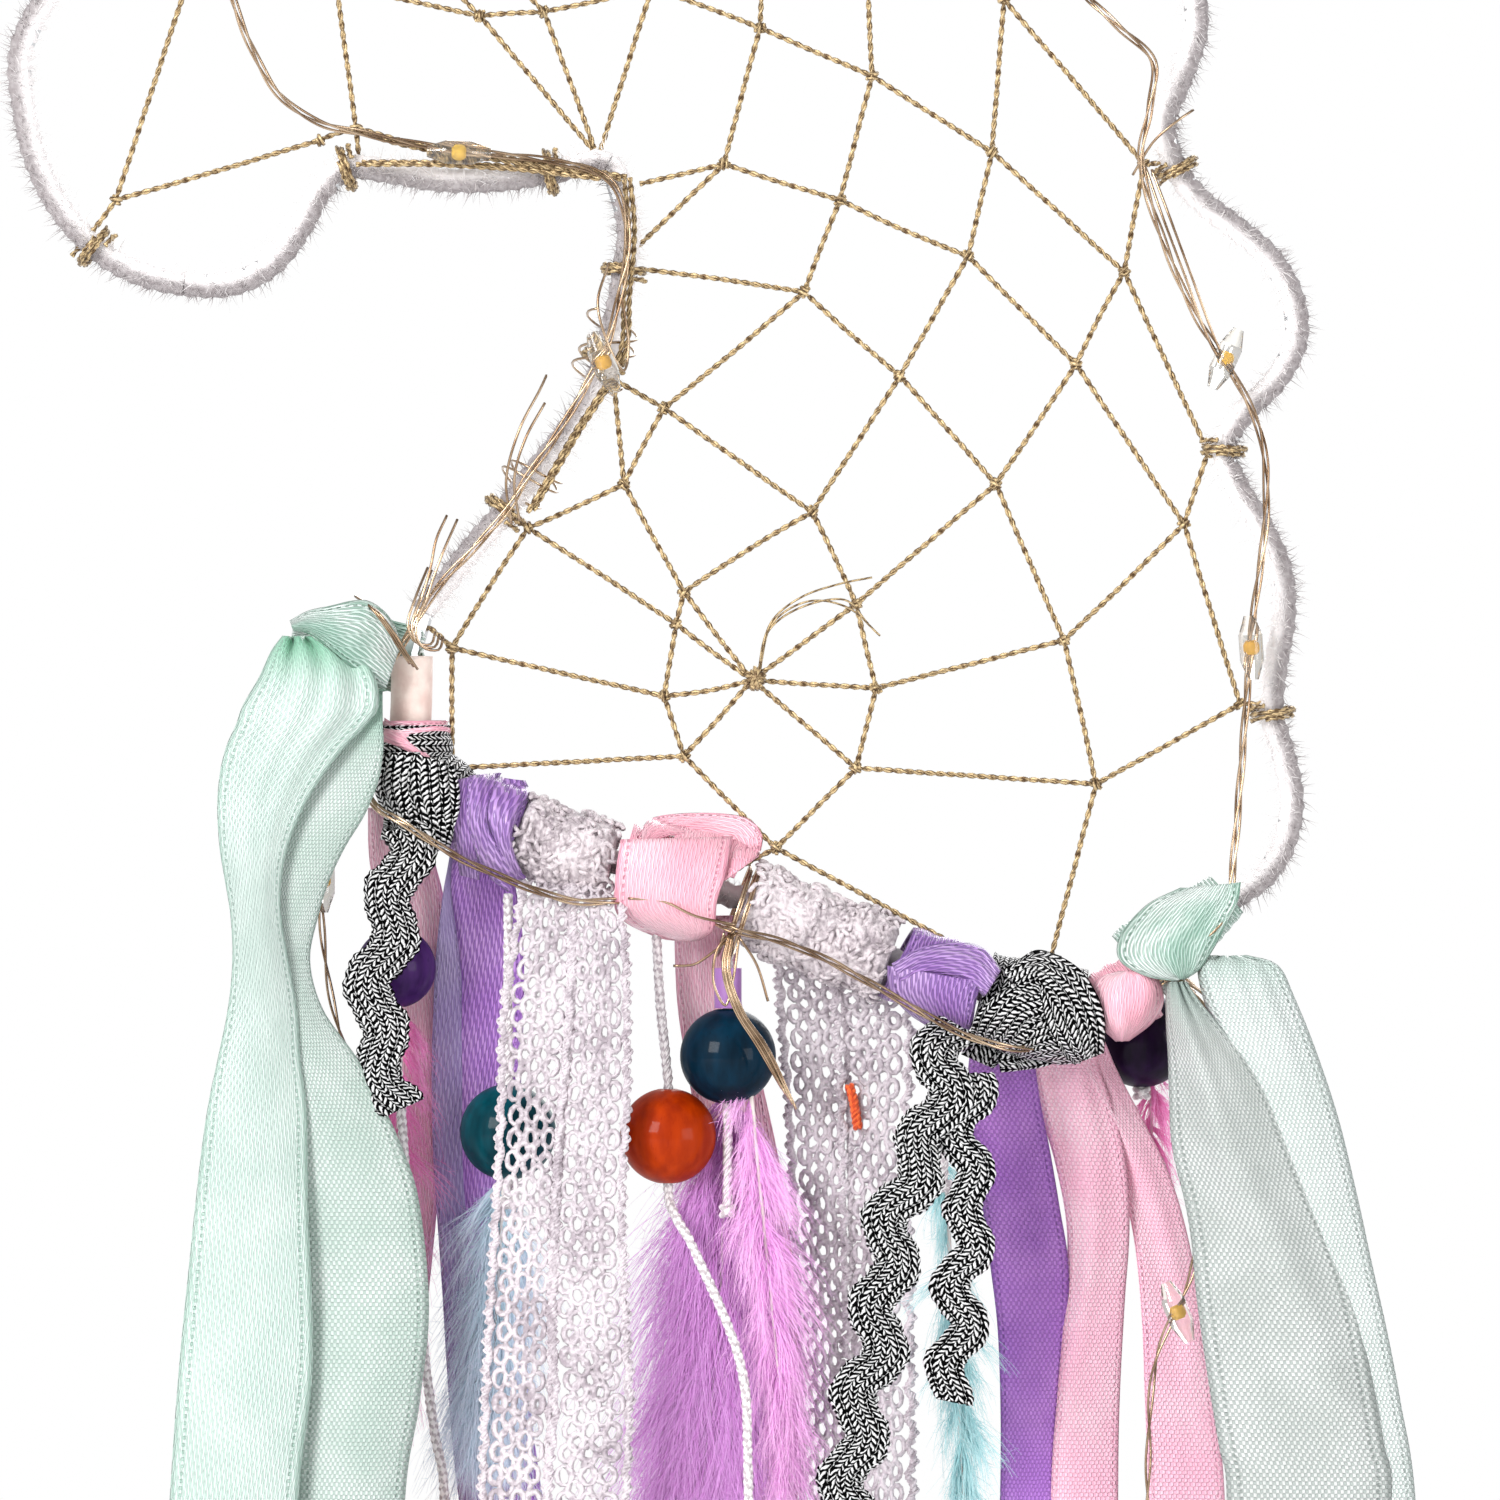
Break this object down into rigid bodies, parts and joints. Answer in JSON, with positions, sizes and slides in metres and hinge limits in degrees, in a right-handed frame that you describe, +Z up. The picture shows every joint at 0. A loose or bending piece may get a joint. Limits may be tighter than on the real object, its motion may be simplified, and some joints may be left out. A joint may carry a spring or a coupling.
{
  "type": "dream catcher",
  "caption": "Dream catcher on a unicorn-head outline of plush-wound wire, with a gold twine web, fairy lights, and hanging ribbons, lace, beads and feathers.",
  "frame": {"origin": "inside the top of the hanging ribbon, where it rests on its nail", "axes": "+Z up, along which the object hangs and is longest; the front faces -Y; the head looks towards -X"},
  "size_m": [0.1805, 0.0279, 0.4678],
  "materials": {
    "steel_wire": "satin",
    "white_plush": "fluffy",
    "gold_twine": "metallic thread",
    "copper_wire": "bright enamelled",
    "led_epoxy": "clear",
    "case_plastic": "moulded",
    "switch_plastic": "moulded",
    "coin_steel": "brushed",
    "contact_metal": "bright",
    "mint_satin": "satin",
    "pink_satin": "satin",
    "purple_satin": "satin",
    "white_lace": "cotton lace",
    "metallic_rickrack": "metallic braid",
    "white_cord": "cotton cord",
    "plum_wood": "gloss lacquer",
    "orange_wood": "gloss lacquer",
    "sea_wood": "gloss lacquer",
    "teal_wood": "gloss lacquer",
    "tube_plastic": "moulded",
    "rose_feather": "feather",
    "lilac_feather": "feather",
    "purple_feather": "feather",
    "aqua_feather": "feather"
  },
  "bodies": {
    "hanger": {"hanging_ribbon": "mint_satin"},
    "frame": {"frame_wire": "steel_wire", "plush_jaw": "white_plush", "plush_nose": "white_plush", "plush_brow": "white_plush", "plush_ear": "white_plush", "plush_crest": "white_plush", "plush_mane": "white_plush", "plush_bar": "white_plush", "plush_neck": "white_plush", "horn": "white_plush", "horn_cord": "gold_twine", "web_twine": "gold_twine", "light_wire": "copper_wire", "light_ends": "copper_wire", "led_drops": "led_epoxy", "battery_case": "case_plastic", "coin_cells": "coin_steel", "battery_contacts": "contact_metal", "knots_mint": "mint_satin", "knots_pink": "pink_satin", "knots_purple": "purple_satin", "knots_lace": "white_lace", "knots_rickrack": "metallic_rickrack"},
    "cover": {"battery_cover": "case_plastic"},
    "switch": {"switch_slider": "switch_plastic"},
    "mint_left": {"tail_mint_left": "mint_satin"},
    "rickrack_left": {"tail_rickrack_left": "metallic_rickrack"},
    "pink_left": {"tail_pink_left": "pink_satin"},
    "purple_left": {"tail_purple_left": "purple_satin"},
    "lace_left": {"tail_lace_left": "white_lace"},
    "pink_middle": {"tail_pink_middle": "pink_satin"},
    "lace_right": {"tail_lace_right": "white_lace"},
    "rickrack_right": {"tail_rickrack_right": "metallic_rickrack"},
    "purple_right": {"tail_purple_right": "purple_satin"},
    "pink_right": {"tail_pink_right": "pink_satin"},
    "mint_right": {"tail_mint_right": "mint_satin"},
    "plum_string": {"string_plum": "white_cord", "feather_rose": "rose_feather"},
    "sea_string": {"string_sea": "white_cord", "feather_lilac": "lilac_feather"},
    "orange_string": {"string_orange": "white_cord"},
    "teal_string": {"string_teal": "white_cord", "tube_bead": "tube_plastic", "feather_purple": "purple_feather", "feather_blush": "rose_feather", "light_pigtail": "copper_wire"},
    "aqua_string": {"string_aqua": "white_cord", "feather_aqua": "aqua_feather"},
    "grape_string": {"string_grape": "white_cord", "feather_pink": "rose_feather"},
    "plum_bead": {"bead_plum": "plum_wood"},
    "amber_bead": {"bead_amber": "orange_wood"},
    "sea_bead": {"bead_sea": "sea_wood"},
    "orange_bead": {"bead_orange": "orange_wood"},
    "teal_bead": {"bead_teal": "teal_wood"},
    "grape_bead": {"bead_grape": "plum_wood"}
  },
  "joints": [
    {"name": "frame_tilt", "type": "hinge", "parent": "hanger", "child": "frame", "pos_m": [0, 0, -0.058], "axis": [1, 0, 0], "range_deg": [-25, 25]},
    {"name": "cover_slide", "type": "slide", "parent": "frame", "child": "cover", "axis": [0, 0, 1], "range_m": [0, 0.03]},
    {"name": "switch_slide", "type": "slide", "parent": "frame", "child": "switch", "axis": [0, 0, 1], "range_m": [0, 0.0025]},
    {"name": "mint_left_swing", "type": "hinge", "parent": "frame", "child": "mint_left", "pos_m": [-0.059, -0.0092, -0.2015], "axis": [1, 0, 0], "range_deg": [-35, 0]},
    {"name": "rickrack_left_swing", "type": "hinge", "parent": "frame", "child": "rickrack_left", "pos_m": [-0.049, -0.0077, -0.224], "axis": [1, 0, 0], "range_deg": [-35, 0]},
    {"name": "pink_left_swing", "type": "hinge", "parent": "frame", "child": "pink_left", "pos_m": [-0.051, 0.0077, -0.224], "axis": [1, 0, 0], "range_deg": [0, 35]},
    {"name": "purple_left_swing", "type": "hinge", "parent": "frame", "child": "purple_left", "pos_m": [-0.04, 0.0077, -0.229], "axis": [1, 0, 0], "range_deg": [0, 35]},
    {"name": "lace_left_swing", "type": "hinge", "parent": "frame", "child": "lace_left", "pos_m": [-0.028, -0.0077, -0.232], "axis": [1, 0, 0], "range_deg": [-35, 0]},
    {"name": "pink_middle_swing", "type": "hinge", "parent": "frame", "child": "pink_middle", "pos_m": [-0.012, 0.0077, -0.238], "axis": [1, 0, 0], "range_deg": [0, 35]},
    {"name": "lace_right_swing", "type": "hinge", "parent": "frame", "child": "lace_right", "pos_m": [0.005, 0.0077, -0.244], "axis": [1, 0, 0], "range_deg": [0, 35]},
    {"name": "rickrack_right_swing", "type": "hinge", "parent": "frame", "child": "rickrack_right", "pos_m": [0.018, -0.0077, -0.2495], "axis": [1, 0, 0], "range_deg": [-35, 0]},
    {"name": "purple_right_swing", "type": "hinge", "parent": "frame", "child": "purple_right", "pos_m": [0.026, 0.0077, -0.252], "axis": [1, 0, 0], "range_deg": [0, 35]},
    {"name": "pink_right_swing", "type": "hinge", "parent": "frame", "child": "pink_right", "pos_m": [0.036, 0.0077, -0.253], "axis": [1, 0, 0], "range_deg": [0, 35]},
    {"name": "mint_right_swing", "type": "hinge", "parent": "frame", "child": "mint_right", "pos_m": [0.054, -0.0092, -0.2405], "axis": [1, 0, 0], "range_deg": [-35, 0]},
    {"name": "plum_string_swing", "type": "hinge", "parent": "frame", "child": "plum_string", "pos_m": [-0.05, 0, -0.225], "axis": [1, 0, 0], "range_deg": [0, 28]},
    {"name": "sea_string_swing", "type": "hinge", "parent": "frame", "child": "sea_string", "pos_m": [-0.0365, 0, -0.2315], "axis": [1, 0, 0], "range_deg": [-28, 0]},
    {"name": "orange_string_swing", "type": "hinge", "parent": "frame", "child": "orange_string", "pos_m": [-0.017, 0, -0.2355], "axis": [1, 0, 0], "range_deg": [-28, 0]},
    {"name": "teal_string_swing", "type": "hinge", "parent": "frame", "child": "teal_string", "pos_m": [-0.009, 0, -0.238], "axis": [1, 0, 0], "range_deg": [-28, 0]},
    {"name": "aqua_string_swing", "type": "hinge", "parent": "frame", "child": "aqua_string", "pos_m": [0.018, 0.002, -0.2485], "axis": [1, 0, 0], "range_deg": [0, 35]},
    {"name": "grape_string_swing", "type": "hinge", "parent": "frame", "child": "grape_string", "pos_m": [0.043, 0.0094, -0.244], "axis": [1, 0, 0], "range_deg": [0, 35]},
    {"name": "plum_bead_spin", "type": "hinge", "parent": "plum_string", "child": "plum_bead", "pos_m": [-0.0505, 0, -0.241], "axis": [0, 0, 1], "continuous": true},
    {"name": "amber_bead_spin", "type": "hinge", "parent": "plum_string", "child": "amber_bead", "pos_m": [-0.0445, 0, -0.3135], "axis": [0, 0, 1], "continuous": true},
    {"name": "sea_bead_spin", "type": "hinge", "parent": "sea_string", "child": "sea_bead", "pos_m": [-0.0365, 0, -0.2615], "axis": [0, 0, 1], "continuous": true},
    {"name": "orange_bead_spin", "type": "hinge", "parent": "orange_string", "child": "orange_bead", "pos_m": [-0.0165, 0, -0.262], "axis": [0, 0, 1], "continuous": true},
    {"name": "teal_bead_spin", "type": "hinge", "parent": "teal_string", "child": "teal_bead", "pos_m": [-0.009, 0, -0.252], "axis": [0, 0, 1], "continuous": true},
    {"name": "grape_bead_spin", "type": "hinge", "parent": "grape_string", "child": "grape_bead", "pos_m": [0.043, 0.0094, -0.2502], "axis": [0, 0, 1], "continuous": true}
  ],
  "couplings": [
    {"joint": "lace_left_swing", "follows": "sea_string_swing", "ratio": 1.25},
    {"joint": "orange_string_swing", "follows": "teal_string_swing", "ratio": 1},
    {"joint": "pink_left_swing", "follows": "plum_string_swing", "ratio": 1.25}
  ]
}
